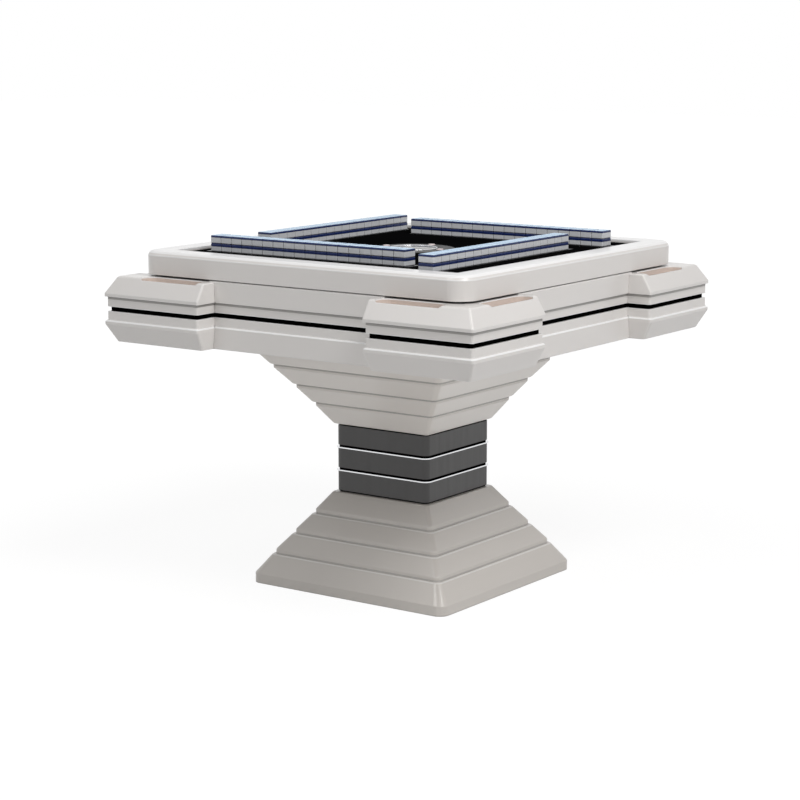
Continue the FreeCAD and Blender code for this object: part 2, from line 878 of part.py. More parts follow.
def make_tile_walls():
    """Four walls of tiles, two high, each on its own lift."""
    tile = make_tile()
    tiles = []
    first = wall_offset - wall_length / 2 + tile_gap / 2
    for column in range(tiles_per_row):
        for layer in range(2):
            copy = tile.copy()
            copy.translate(Vector(first + column * tile_width,
                                  -wall_distance - tile_depth / 2,
                                  lift_top + layer * tile_thick))
            tiles.append(copy)
    wall = Part.makeCompound(tiles)

    parts = [block(wall_offset - lift_half_length, wall_offset + lift_half_length,
                   -wall_distance - lift_half_width, -wall_distance + lift_half_width,
                   lift_bottom, lift_top)]
    rod_bottom = guide_top - rod_engagement
    for along in (-guide_rod_spread, guide_rod_spread):
        parts.append(rod(wall_offset + along, -wall_distance, rod_bottom, lift_bottom,
                         guide_rod_radius))
    parts.append(rod(wall_offset, -wall_distance, rod_bottom, lift_bottom, push_rod_radius))
    lift = fused(parts)

    guides = []
    for along in (-guide_rod_spread, guide_rod_spread):
        x = wall_offset + along
        reach = guide_width / 2
        guide = block(x - reach, x + reach, -wall_distance - reach, -wall_distance + reach,
                      deck_top, guide_top)
        guides.append(guide.cut(rod(x, -wall_distance, deck_top - overrun, guide_top + overrun,
                                    guide_rod_radius + running_gap)))
    reach = actuator_width / 2
    housing = block(wall_offset - reach, wall_offset + reach, -wall_distance - reach,
                    -wall_distance + reach, deck_top, guide_top)
    motor_reach = lift_motor_width / 2
    motor = block(wall_offset - motor_reach, wall_offset + motor_reach,
                  -wall_distance - reach - lift_motor_length, -wall_distance - reach,
                  deck_top, deck_top + lift_motor_height)
    ends = [edge for edge in motor.Edges if abs(edge.tangentAt(edge.FirstParameter).y) > 0.5
            and edge.CenterOfMass.z > deck_top + lift_motor_ease]
    motor = motor.makeFillet(lift_motor_ease, ends)
    actuator = fused([housing, motor])
    actuator = actuator.cut(rod(wall_offset, -wall_distance, deck_top - overrun,
                                guide_top + overrun, push_rod_radius + running_gap))

    for turn, side in enumerate(("front", "right", "back", "left")):
        save("tile_wall_" + side, on_side(wall, turn, wall_shifts[turn]))
        save("tile_lift_" + side, on_side(lift, turn, 0))
    all_guides = [on_side(guide, turn, 0) for turn in range(4) for guide in guides]
    save("lift_guides", Part.makeCompound(all_guides))
    save("lift_actuators", Part.makeCompound([on_side(actuator, turn, 0) for turn in range(4)]))


# Places in the drum that several pieces share
thrust_top = deck_top + guide_flange_thick + thrust_seat_height
hub_bottom = thrust_top + part_gap
disc_bottom = hub_bottom + disc_drop
disc_top = disc_bottom + disc_thick
drum_top = board_bottom - drum_top_gap
wheel_z = disc_top + wheel_disc_gap + wheel_radius


def roller_place():
    distance = skirt_radius + roller_radius + part_gap
    angle = math.radians(roller_angle)
    return distance * math.cos(angle), distance * math.sin(angle)


def make_drum():
    guide = fused([
        rod(0, 0, deck_top, deck_top + guide_flange_thick, guide_flange_radius),
        rod(0, 0, deck_top, thrust_top, thrust_seat_radius),
        rod(0, 0, deck_top, deck_top + guide_tube_height, guide_tube_radius),
    ])
    guide = guide.cut(rod(0, 0, deck_top - overrun, deck_top + guide_tube_height + overrun,
                          column_tube_radius + running_gap))
    save("console_guide", guide)

    hub_top = hub_bottom + hub_height
    skirt = rod(0, 0, disc_bottom - skirt_depth, disc_bottom, skirt_radius)
    skirt = skirt.cut(rod(0, 0, disc_bottom - skirt_depth - overrun, disc_bottom,
                          skirt_radius - skirt_wall))
    cone = Part.makeCone(cone_radius, hub_radius, hub_top - disc_top, Vector(0, 0, disc_top))
    pieces = [rod(0, 0, hub_bottom, hub_top, hub_radius),
              rod(0, 0, disc_bottom, disc_top, disc_radius), skirt, cone]
    for i in range(paddle_count):
        paddle = block(paddle_inner, paddle_outer, -paddle_width / 2, paddle_width / 2,
                       disc_top - disc_thick / 2, disc_top + paddle_height)
        pieces.append(turned(paddle, 360 / paddle_count * i))
    table = fused(pieces)
    table = table.cut(rod(0, 0, hub_bottom - overrun, hub_top + overrun,
                          guide_tube_radius + running_gap))
    save("turntable", table)

    outer = drum_inner_radius + drum_wall_thick
    wall = rod(0, 0, disc_bottom, drum_top, outer)
    wall = wall.cut(rod(0, 0, disc_bottom - overrun, drum_top + overrun, drum_inner_radius))
    window_low = wheel_z - wheel_radius - wheel_disc_gap + part_gap
    window = block(disc_radius / 2, outer + overrun, -wheel_window / 2, wheel_window / 2,
                   window_low, drum_top + overrun)
    legs = []
    leg = block(outer - drum_wall_thick / 2, outer + drum_leg_thick, -drum_leg_width / 2,
                drum_leg_width / 2, deck_top, disc_top + drum_leg_width)
    for turn in range(4):
        wall = wall.cut(turned(window, 45 + 90 * turn))
        legs.append(turned(leg, drum_leg_angle + 90 * turn))
    save("drum_wall", fused([wall] + legs))


def make_drive():
    x, y = roller_place()
    roller_low = disc_bottom - skirt_depth + roller_lift
    flange_top = deck_top + motor_flange_thick
    flange = block(x - motor_flange, x + motor_flange, y - motor_flange, y + motor_flange,
                   deck_top, flange_top)
    body = rod(x, y, deck_top - motor_depth, flange_top, motor_radius)
    shaft_low = flange_top - shaft_engagement
    motor = fused([flange, body])
    motor = motor.cut(rod(x, y, shaft_low - running_gap, flange_top + overrun,
                          roller_shaft_radius + running_gap))
    save("turntable_motor", motor)
    roller = fused([rod(x, y, roller_low, roller_low + roller_width, roller_radius),
                    rod(x, y, shaft_low, roller_low + roller_width, roller_shaft_radius)])
    save("drive_roller", roller)


def make_magnet_wheels():
    """Wheels on the drum's diagonals that lift tiles out of it, and their motors."""
    place = Vector(wheel_distance, 0, wheel_z)
    half = wheel_width / 2
    wheel = Part.makeCylinder(wheel_radius, wheel_width, place - Vector(0, half, 0),
                              Vector(0, 1, 0))
    rims = [edge for edge in wheel.Edges if edge.Closed and len(edge.Vertexes) == 1]
    wheel = wheel.makeChamfer(wheel_ease, rims)
    ring = wheel_radius * magnet_ring_share
    for i in range(magnet_count):
        angle = 2 * math.pi * i / magnet_count
        centre = place + Vector(ring * math.cos(angle), 0, ring * math.sin(angle))
        for side in (-1, 1):
            start = centre + Vector(0, side * (half - magnet_depth), 0)
            wheel = wheel.cut(Part.makeCylinder(magnet_radius, magnet_depth + overrun, start,
                                                Vector(0, side, 0)))
    motor_start = half + wheel_motor_gap
    shaft_length = half + wheel_motor_gap + shaft_engagement
    shaft = Part.makeCylinder(wheel_shaft_radius, shaft_length, place, Vector(0, 1, 0))
    wheel = fused([wheel, shaft])
    body = Part.makeCylinder(wheel_motor_radius, wheel_motor_length,
                             place + Vector(0, motor_start, 0), Vector(0, 1, 0))
    post = block(wheel_distance - wheel_motor_post / 2, wheel_distance + wheel_motor_post / 2,
                 motor_start, motor_start + wheel_motor_length, deck_top, wheel_z)
    motor = fused([body, post])
    motor = motor.cut(Part.makeCylinder(wheel_shaft_radius + running_gap,
                                        shaft_engagement + running_gap,
                                        place + Vector(0, motor_start, 0), Vector(0, 1, 0)))
    motors = []
    for turn, corner in enumerate(("front_right", "back_right", "back_left", "front_left")):
        save("magnet_wheel_" + corner, turned(wheel, -45 + 90 * turn))
        motors.append(turned(motor, -45 + 90 * turn))
    save("wheel_motors", Part.makeCompound(motors))


def make_conveyors():
    """Short belt beds that carry tiles from each wheel out to a lift."""
    belt_top = lift_top - lift_travel - belt_top_drop
    bed_top = belt_top - belt_thick
    bed_bottom = bed_top - conveyor_height
    nose = conveyor_height / 2
    near = -conveyor_start
    far = near - conveyor_length

    def loop(grow, half_width):
        """Long rounded bar across X, larger by grow all round."""
        radius = nose + grow
        middle = (bed_top + bed_bottom) / 2
        x0 = conveyor_centre - half_width
        x1 = conveyor_centre + half_width
        ends = [Part.makeCylinder(radius, x1 - x0, Vector(x0, y, middle), Vector(1, 0, 0))
                for y in (near - nose, far + nose)]
        bar = block(x0, x1, far + nose, near - nose, middle - radius, middle + radius)
        return fused([bar] + ends)

    belt = loop(belt_thick, conveyor_belt_width / 2)
    belt = belt.cut(loop(seat_gap, conveyor_belt_width / 2 + overrun))
    bed = loop(0, conveyor_belt_width / 2 + part_gap)
    plates = []
    for side in (-1, 1):
        x = conveyor_centre + side * (conveyor_width - conveyor_plate) / 2
        plates.append(block(x - conveyor_plate / 2, x + conveyor_plate / 2,
                            far + nose, near - nose, deck_top, bed_top))
    bridge = block(conveyor_centre - conveyor_width / 2, conveyor_centre + conveyor_width / 2,
                   far + nose * 2, near - nose * 2, bed_bottom + belt_thick, bed_top - belt_thick)
    bed = fused([bed, bridge] + plates)
    save("conveyor_beds", Part.makeCompound([quarter_turned(bed, turn) for turn in range(4)]))
    save("conveyor_belts", Part.makeCompound([quarter_turned(belt, turn) for turn in range(4)]))


def make_electrics():
    board_z = deck_top + control_standoff
    half_x = control_width / 2
    half_y = control_length / 2
    pieces = [block(control_x - half_x, control_x + half_x, control_y - half_y,
                    control_y + half_y, board_z, board_z + control_thick)]
    for x in (-1, 1):
        for y in (-1, 1):
            pieces.append(rod(control_x + x * (half_x - 2 * control_standoff_radius),
                              control_y + y * (half_y - 2 * control_standoff_radius),
                              deck_top, board_z, control_standoff_radius))
    chip_shares = ((-0.5, -0.6, 0.5, 10), (0.4, -0.3, 0.6, 14), (-0.4, 0.3, 0.5, 8),
                   (0.3, 0.6, 0.4, 12))
    for share_x, share_y, size_share, height_share in chip_shares:
        size = half_x * size_share
        x = control_x + half_x * share_x
        y = control_y + half_y * share_y
        pieces.append(block(x - size / 2, x + size / 2, y - size / 2, y + size / 2, board_z,
                            board_z + control_thick * height_share))
    save("control_board", fused(pieces))

    case = block(supply_x - supply_length / 2, supply_x + supply_length / 2,
                 supply_y - supply_width / 2, supply_y + supply_width / 2,
                 deck_top, deck_top + supply_height)
    lip = supply_height / 8
    recess = block(supply_x - supply_length / 2 - overrun, supply_x - supply_length / 2 + lip * 2,
                   supply_y - supply_width / 2 + lip, supply_y + supply_width / 2 - lip,
                   deck_top + lip, deck_top + supply_height / 2)
    save("power_supply", case.cut(recess))


def make_inlet():
    """Mains inlet and rocker switch in one module, facing down under the housing."""
    flange_top = pan_bottom
    flange_low = flange_top - inlet_flange_thick
    half_x = inlet_flange_length / 2
    half_y = inlet_flange_width / 2
    flange = block(inlet_x - half_x, inlet_x + half_x, inlet_y - half_y, inlet_y + half_y,
                   flange_low, flange_top)
    half_x = inlet_body_length / 2
    half_y = inlet_body_width / 2
    body = block(inlet_x - half_x, inlet_x + half_x, inlet_y - half_y, inlet_y + half_y,
                 flange_low, flange_low + inlet_body_height + inlet_flange_thick)
    socket_x = inlet_x + socket_offset
    half_x = socket_length / 2
    half_y = socket_width / 2
    socket = block(socket_x - half_x, socket_x + half_x, inlet_y - half_y, inlet_y + half_y,
                   flange_low - overrun, flange_low + socket_depth)
    rocker_x = inlet_x + rocker_offset
    well_x = rocker_length / 2 + part_gap
    well_y = rocker_width / 2 + part_gap
    well = block(rocker_x - well_x, rocker_x + well_x, inlet_y - well_y, inlet_y + well_y,
                 flange_low - overrun, flange_low + rocker_depth + rocker_pivot_radius * 2)
    module = fused([flange, body]).cut(socket).cut(well)
    pins = []
    for column in (-1, 0, 1):
        x = socket_x + column * socket_pin_spacing
        y = inlet_y + (socket_pin_width / 2 if column == 0 else -socket_pin_width / 4)
        pins.append(block(x - socket_pin_thick / 2, x + socket_pin_thick / 2,
                          y - socket_pin_width / 2, y + socket_pin_width / 2,
                          flange_low + socket_depth - socket_pin_length,
                          flange_low + socket_depth + overrun / 2))
    module = fused([module] + pins)
    pivot_z = flange_low + rocker_pivot_depth
    pivot_reach = rocker_width / 2 + part_gap + overrun
    bore = Part.makeCylinder(rocker_pivot_radius + running_gap, 2 * pivot_reach,
                             Vector(rocker_x, inlet_y - pivot_reach, pivot_z), Vector(0, 1, 0))
    save("power_inlet", module.cut(bore))

    near = inlet_y - rocker_width / 2
    reach = rocker_length
    throw = math.radians(rocker_throw)
    ridge_x = rocker_x - rocker_pivot_depth * math.tan(throw / 2)
    points = [Vector(ridge_x, near, flange_low),
              Vector(ridge_x + reach, near, flange_low),
              Vector(ridge_x + reach, near, flange_low + reach),
              Vector(ridge_x - reach, near, flange_low + reach),
              Vector(ridge_x - reach * math.cos(throw), near,
                     flange_low - reach * math.sin(throw))]
    room = Part.Face(Part.makePolygon(points + points[:1])).extrude(Vector(0, rocker_width, 0))
    rocker = Part.makeCylinder(rocker_length / 2, rocker_width, Vector(rocker_x, near, pivot_z),
                               Vector(0, 1, 0)).common(room)
    pin_reach = pivot_reach - part_gap
    pin = Part.makeCylinder(rocker_pivot_radius, 2 * pin_reach,
                            Vector(rocker_x, inlet_y - pin_reach, pivot_z), Vector(0, 1, 0))
    save("power_switch", fused([rocker, pin]))


def make_console():
    """Round control unit that rises out of the middle of the cloth."""
    shoulder_z = cloth_top + console_shoulder
    crown_z = cloth_top + console_crown
    bottom = cloth_top - console_body_depth
    points = [
        Vector(0, 0, bottom), Vector(console_radius, 0, bottom),
        Vector(console_radius, 0, shoulder_z),
        Vector(console_radius - console_slope_run, 0, crown_z),
        Vector(0, 0, crown_z),
    ]
    body = Part.Face(Part.makePolygon(points + points[:1])).revolve(
        Vector(0, 0, 0), Vector(0, 0, 1), 360)
    well_floor = crown_z - console_well_depth
    body = body.cut(rod(0, 0, well_floor, crown_z + overrun, console_well_radius))
    body = body.cut(rod(0, 0, crown_z - dome_seat_depth, crown_z + overrun,
                        dome_radius + slip_gap))
    groove = rod(0, 0, crown_z - console_groove, crown_z + overrun,
                 console_ring_radius + 2 * console_groove)
    groove = groove.cut(rod(0, 0, crown_z - 2 * console_groove, crown_z + 2 * overrun,
                            console_ring_radius + console_groove))
    body = body.cut(groove)
    spindle_low = well_floor - console_floor
    body = body.cut(rod(0, 0, spindle_low, well_floor + overrun,
                        dice_spindle_radius + running_gap))
    button_top = crown_z + button_proud
    button_low = button_top - button_height
    well_low = button_low - button_travel - part_gap
    for turn in range(4):
        x = button_distance * round(math.cos(math.radians(90 * turn - 90)))
        y = button_distance * round(math.sin(math.radians(90 * turn - 90)))
        body = body.cut(rod(x, y, well_low, crown_z + overrun, button_radius + part_gap))
    save("console_housing", body)

    button = rod(0, -button_distance, button_low, button_top, button_radius)
    top_edges = [edge for edge in button.Edges if edge.Closed and len(edge.Vertexes) == 1
                 and edge.CenterOfMass.z > button_top - button_ease]
    button = button.makeFillet(button_ease, top_edges)
    for turn, side in enumerate(("front", "right", "back", "left")):
        save("dice_button_" + side, quarter_turned(button, turn))

    tube = rod(0, 0, deck_top + column_tube_foot, bottom, column_tube_radius)
    tube = tube.cut(rod(0, 0, deck_top, bottom + overrun, column_tube_radius - column_tube_wall))
    save("console_column", tube)

    plate_z = well_floor + part_gap
    plate = fused([rod(0, 0, plate_z, plate_z + dice_plate_thick, dice_plate_radius),
                   rod(0, 0, spindle_low + part_gap, plate_z + dice_plate_thick,
                       dice_spindle_radius)])
    save("dice_plate", plate)

    dice = []
    for side in (-1, 1):
        die = Part.makeBox(dice_size, dice_size, dice_size,
                           Vector(-dice_size / 2, -dice_size / 2, 0))
        die = die.makeFillet(dice_ease, die.Edges)
        die.Placement = FreeCAD.Placement(
            Vector(side * dice_spread, side * dice_size / 2, plate_z + dice_plate_thick),
            Rotation(Vector(0, 0, 1), side * dice_turn))
        dice.append(die)
    save("dice", Part.makeCompound(dice))

    seat_z = crown_z - dome_seat_depth

    def cap(radius, z, rise):
        """Shallow spherical cap on a flat circle."""
        sphere_radius = (radius * radius + rise * rise) / (2 * rise)
        ball = Part.makeSphere(sphere_radius, Vector(0, 0, z + rise - sphere_radius))
        return ball.common(rod(0, 0, z, z + rise + overrun, radius))

    rim_z = seat_z + dome_seat_depth
    dome = fused([rod(0, 0, seat_z, rim_z, dome_radius), cap(dome_radius, rim_z, dome_crown)])
    inner_radius = console_well_radius - dome_wall
    inside = fused([rod(0, 0, seat_z - overrun, rim_z, inner_radius),
                    cap(inner_radius, rim_z, dome_crown - dome_wall)])
    save("dice_dome", dome.cut(inside))


column_base = make_base()
make_post()
column_top = make_column(column_base)
make_cowl(column_top)
make_chassis()
strips = make_side_panels() + make_corner_boxes()
save("trim_strips", Part.makeCompound(strips))
make_tabletop()
make_tile_walls()
make_drum()
make_drive()
make_magnet_wheels()
make_conveyors()
make_electrics()
make_inlet()
make_console()
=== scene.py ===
import json
import math

import bmesh
import bpy
from mathutils import Matrix, Vector


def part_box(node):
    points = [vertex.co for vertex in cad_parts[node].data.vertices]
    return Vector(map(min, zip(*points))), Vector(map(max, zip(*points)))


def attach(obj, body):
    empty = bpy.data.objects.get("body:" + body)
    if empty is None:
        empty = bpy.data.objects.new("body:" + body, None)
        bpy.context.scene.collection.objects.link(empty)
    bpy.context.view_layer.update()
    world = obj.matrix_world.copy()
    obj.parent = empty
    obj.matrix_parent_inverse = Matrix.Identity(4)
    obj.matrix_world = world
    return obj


# The table's looks: materials for the CAD nodes, the console's bright ring, camera, lights and
# floor. Lengths are in metres, and heights are above the floor with the part at rest.

# Camera at the photograph's place, solved from the table's outlines
SIDE_PX = 800
FOCAL_PX = 2210.6
CENTRE_PX = (395.8, 416.6)
AZIMUTH = math.radians(35.710)
ELEVATION = math.radians(10.496)
ROLL = math.radians(-0.076)
CAMERA_M = (2.8866, -4.0836, 1.3022)
SENSOR_MM = 36
CLIP_END = 100

# Square lamps: name, place, side, watts, colour
LAMPS = (
    ("key_right", (2.4, -0.9, 3.6), 1.6, 75, (1, 0.985, 0.98)),
    ("key_left", (-0.9, -2.6, 3.6), 1.6, 29, (1, 1, 1)),
    ("fill_right", (3.6, -0.6, 1.7), 2.4, 6, (1, 0.97, 0.95)),
)
LAMP_TARGET = (0, 0, 0.6)
SKY_LIGHT = 0.25

# Floor: its grey where light bounces off it, its grey where it is seen (this takes the shadow),
# and its glow, which grows from near the table to further off
FLOOR_REACH = 20
FLOOR_BOUNCE = 0.85
FLOOR_SEEN = 0.17
GLOW_NEAR, GLOW_FAR = 0.9, 1.0
GLOW_GROWS_FROM, GLOW_GROWS_TO = 0.9, 3.0

# An outer edge, by the dot product of the rounded and the true normal: from none to full
EDGE_STARTS, EDGE_FULL = 0.995, 0.9
# An open place and an inner corner, by the open share of what surrounds them within a reach,
# which is given in edge radii
OPEN_STARTS, OPEN_FULL = 0.8, 0.97
CREASE_STARTS, CREASE_FULL = 0.92, 0.5
CREASE_REACH = 2.5
# Painted shade under an overhang and painted highlight above a ledge: the radius that tells them
# apart, how far the rounded normal leans up or down there, and the ledge's share
CORNER_RADIUS = 0.005
LEAN_STARTS, LEAN_FULL = 0.05, 0.3
LEDGE_SHARE = 0.6

# Moulded finishes. Stains: how much finer than the patches, their share against them, tone
STAIN_FINER, STAIN_SHARE, STAIN_TONE = 12, 2.5, 0.8
# Edge wear, also painted lighter as a highlight: scale of its scuffs, its least and most share,
# what the wear adds to roughness
SCUFF_SCALE = 60
LEAST_WEAR_AND_HIGHLIGHT, MOST_WEAR_AND_HIGHLIGHT, WORN_ROUGHER = 0.4, 1.6, 0.1
# Smudges, from none to full in the stains' noise
SMUDGE_STARTS, SMUDGE_FULL = 0.35, 0.7
# Painted shade under an overhang, as a share of the colour
OVERHANG_SHADE_TONE = 0.1
GRAIN_STRENGTH = 0.6
WAVE_SCALE = 14
COAT_ROUGHNESS = 0.12

# The corner boxes' pockets: distances of their walls from the middle lines, and heights; the
# band from the brim's foot to its top is painted white as a highlight
POCKET_INNER, POCKET_OUTER = 0.2375, 0.4695
POCKET_FLOOR, BRIM_FOOT, BRIM_TOP = 0.684, 0.7127, 0.7148

# The tiles: foot of the lower layer, one layer's height, where the blue back starts in it, how
# much higher it starts in the upper layer, half the height of the joint under it, and where
# the top faces start, counted in layers; where these face up they are painted a lighter blue as
# a highlight
TILE_FOOT = 0.7635
TILE_LAYER = 0.018
BACK_FROM = 0.0112
UPPER_BACK_RISE = 0.0022
JOINT_HALF = 0.0006
TOP_FACE_FROM = 1.9
FACES_UP = 0.9
# Painted shade in the creases between the tiles: its reach, and the open share from none to full
TILE_CREASE_REACH = 0.004
TILE_CREASE_STARTS, TILE_CREASE_FULL = 0.9, 0.4

# The table cloth: this scale of the wave texture gives a thread every 5.7 mm. Fuzz lies over
# the threads, and the pile lies darker or lighter in broad patches
THREAD_SCALE = 55.5556
FUZZ_SCALE, FUZZ_SHARE = 1400, 0.7
LIE_SCALE = 5
CLOTH_DEPTH = 0.0002

# The circuit board: scale of its tracks, and scale and radius of its pads
TRACK_SCALE = 90.0
PAD_SCALE, PAD_RADIUS = 260.0, 0.16

# The bright ring round the dome, against the console's crown
RING_INNER, RING_OUTER = 0.0530, 0.0560
RING_SUNK, RING_SHOULDER, RING_CROWN = 0.0004, 0.0008, 0.0014
RING_EDGE = 0.0006
SMOOTH_BELOW = math.radians(35)


def grey(value):
    return (value, value, value, 1)


def srgb(r, g, b):
    """Linear colour from 0 to 255 display values."""
    linear = []
    for value in (r, g, b):
        share = value / 255
        linear.append(share / 12.92 if share <= 0.04045 else ((share + 0.055) / 1.055) ** 2.4)
    return (*linear, 1)


def scaled(colour, factor):
    return (*[min(1, c * factor) for c in colour[:3]], 1)


WHITE = grey(1.0)
BODY_GREY = srgb(232, 229, 226)
SHADE = srgb(150, 147, 144)

# Level lines of painted shade and painted highlight on the body: lowest height, highest height,
# tone, share.
# Housing: painted shade under the lip, painted highlight on the ledge, painted highlights over
# and under the groove
HOUSING_PAINTED_LIGHT = (
    (0.6640, 0.6701, SHADE, 0.75),
    (0.6139, 0.6172, WHITE, 1.0),
    (0.6474, 0.6486, WHITE, 0.8),
    (0.6358, 0.6370, WHITE, 0.8),
)
# Rim: painted highlight on its outer edge and its top
RIM_PAINTED_LIGHT = (
    (0.7606, 0.7632, WHITE, 0.7),
    (0.7632, 0.7670, BODY_GREY, 0.5),
    (0.7670, 0.7730, WHITE, 0.9),
)
# Cowl: painted shade at the inner corners of its steps
COWL_PAINTED_SHADE = tuple((foot, foot + 0.0037, SHADE, 0.6) for foot in (0.5040, 0.4565, 0.4133))
# Base: painted shade at the inner corners of its steps, and painted highlight on the ledges
# under them
BASE_LEDGES = (0.0661, 0.1117, 0.1573)
BASE_PAINTED_LIGHT = (
    *[(ledge + 0.0001, ledge + 0.0031, SHADE, 0.6) for ledge in BASE_LEDGES],
    *[(ledge - 0.0025, ledge, WHITE, 0.4) for ledge in BASE_LEDGES],
)


def shader_tree(name):
    """A new material with an empty tree: returns the material, its tree and its output."""
    mat = bpy.data.materials.new(name)
    mat.use_nodes = True
    tree = mat.node_tree
    tree.nodes.clear()
    output = tree.nodes.new("ShaderNodeOutputMaterial")
    return mat, tree, output


def add(tree, kind, inputs=None, **settings):
    """Adds a node, sets its properties, and sets or links its inputs."""
    node = tree.nodes.new(kind)
    for key, value in settings.items():
        setattr(node, key, value)
    for key, value in (inputs or {}).items():
        socket = node.inputs[key]
        if isinstance(value, bpy.types.NodeSocket):
            tree.links.new(value, socket)
        else:
            socket.default_value = value
    return node


def principled(tree, output, inputs):
    shader = add(tree, "ShaderNodeBsdfPrincipled", inputs)
    tree.links.new(shader.outputs[0], output.inputs[0])


def object_place(tree):
    """A point's place in its own piece's frame, so that the finish moves with the piece."""
    return add(tree, "ShaderNodeTexCoord").outputs["Object"]


def split(tree, vector):
    """A vector's outputs X, Y and Z."""
    return add(tree, "ShaderNodeSeparateXYZ", {"Vector": vector}).outputs


def maths(tree, operation, *values):
    return add(tree, "ShaderNodeMath", dict(enumerate(values)), operation=operation).outputs[0]


def product(tree, first, *others):
    for value in others:
        first = maths(tree, "MULTIPLY", first, value)
    return first


def between(tree, value, low, high):
    return product(tree, maths(tree, "GREATER_THAN", value, low),
                   maths(tree, "LESS_THAN", value, high))


def remap(tree, value, low, high, to_low=0.0, to_high=1.0):
    """Maps low to high onto to_low to to_high, and holds it there beyond them."""
    return add(tree, "ShaderNodeMapRange",
               {"Value": value, "From Min": low, "From Max": high, "To Min": to_low,
                "To Max": to_high}).outputs["Result"]


def spread(tree, fac, low, high):
    """Maps 0 to 1 onto low to high."""
    return remap(tree, fac, 0.0, 1.0, low, high)


def noise(tree, coords, scale, detail=4, roughness=0.55):
    return add(tree, "ShaderNodeTexNoise", {"Vector": coords, "Scale": scale, "Detail": detail,
                                            "Roughness": roughness}).outputs["Fac"]


def blend_colour(tree, fac, a, b):
    return add(tree, "ShaderNodeMix", {0: fac, 6: a, 7: b}, data_type="RGBA").outputs[2]


def bumped(tree, height, distance, strength, **normal):
    """The normal, or Normal= if that is given, with a height laid over it."""
    return add(tree, "ShaderNodeBump", {"Height": height, "Distance": distance,
                                        "Strength": strength, **normal}).outputs[0]


def open_share(tree, reach):
    """The open share of what surrounds a point, less than 1 near inner corners."""
    return add(tree, "ShaderNodeAmbientOcclusion", {"Distance": reach}, samples=4).outputs["AO"]


def edge_mask(tree, radius):
    """1 along outer edges, 1 close to inner corners, and the rounded normal."""
    rounded = add(tree, "ShaderNodeBevel", {"Radius": radius}, samples=6).outputs[0]
    true = add(tree, "ShaderNodeNewGeometry").outputs["True Normal"]
    dot = add(tree, "ShaderNodeVectorMath", {0: rounded, 1: true},
              operation="DOT_PRODUCT").outputs["Value"]
    hollow = open_share(tree, radius * CREASE_REACH)
    outer = product(tree, remap(tree, dot, EDGE_STARTS, EDGE_FULL),
                    remap(tree, hollow, OPEN_STARTS, OPEN_FULL))
    return outer, remap(tree, hollow, CREASE_STARTS, CREASE_FULL), rounded


def paint_corner_light(tree, base, creased, amount, painted_shade, light):
    """Paints shade on a face under an overhang, and a faint painted highlight above a ledge."""
    wide = add(tree, "ShaderNodeBevel", {"Radius": CORNER_RADIUS}, samples=4).outputs[0]
    true = add(tree, "ShaderNodeNewGeometry").outputs["True Normal"]
    lean = add(tree, "ShaderNodeVectorMath", {0: wide, 1: true}, operation="SUBTRACT").outputs[0]
    lean = split(tree, lean)["Z"]
    for sign, tone, share in ((-1, painted_shade, amount), (1, light, amount * LEDGE_SHARE)):
        facing = remap(tree, lean, LEAN_STARTS * sign, LEAN_FULL * sign)
        base = blend_colour(tree, product(tree, creased, facing, share), base, tone)
    return base


def paint_light_lines(tree, place, base, lines):
    """Paints level lines of shade and highlight, each (lowest height, highest height, tone,
    share).
    """
    z = split(tree, place)["Z"]
    for low, high, tone, share in lines:
        base = blend_colour(tree, product(tree, between(tree, z, low, high), share), base, tone)
    return base


def in_pockets(tree, place, low, high):
    """1 on the inner and end walls of the corner boxes' pockets, between two heights."""
    at = split(tree, place)
    x, y = (maths(tree, "ABSOLUTE", at[axis]) for axis in "XY")
    beyond = maths(tree, "GREATER_THAN", maths(tree, "MINIMUM", x, y), POCKET_INNER)
    within = maths(tree, "LESS_THAN", maths(tree, "MAXIMUM", x, y), POCKET_OUTER)
    return product(tree, beyond, within, between(tree, at["Z"], low, high))


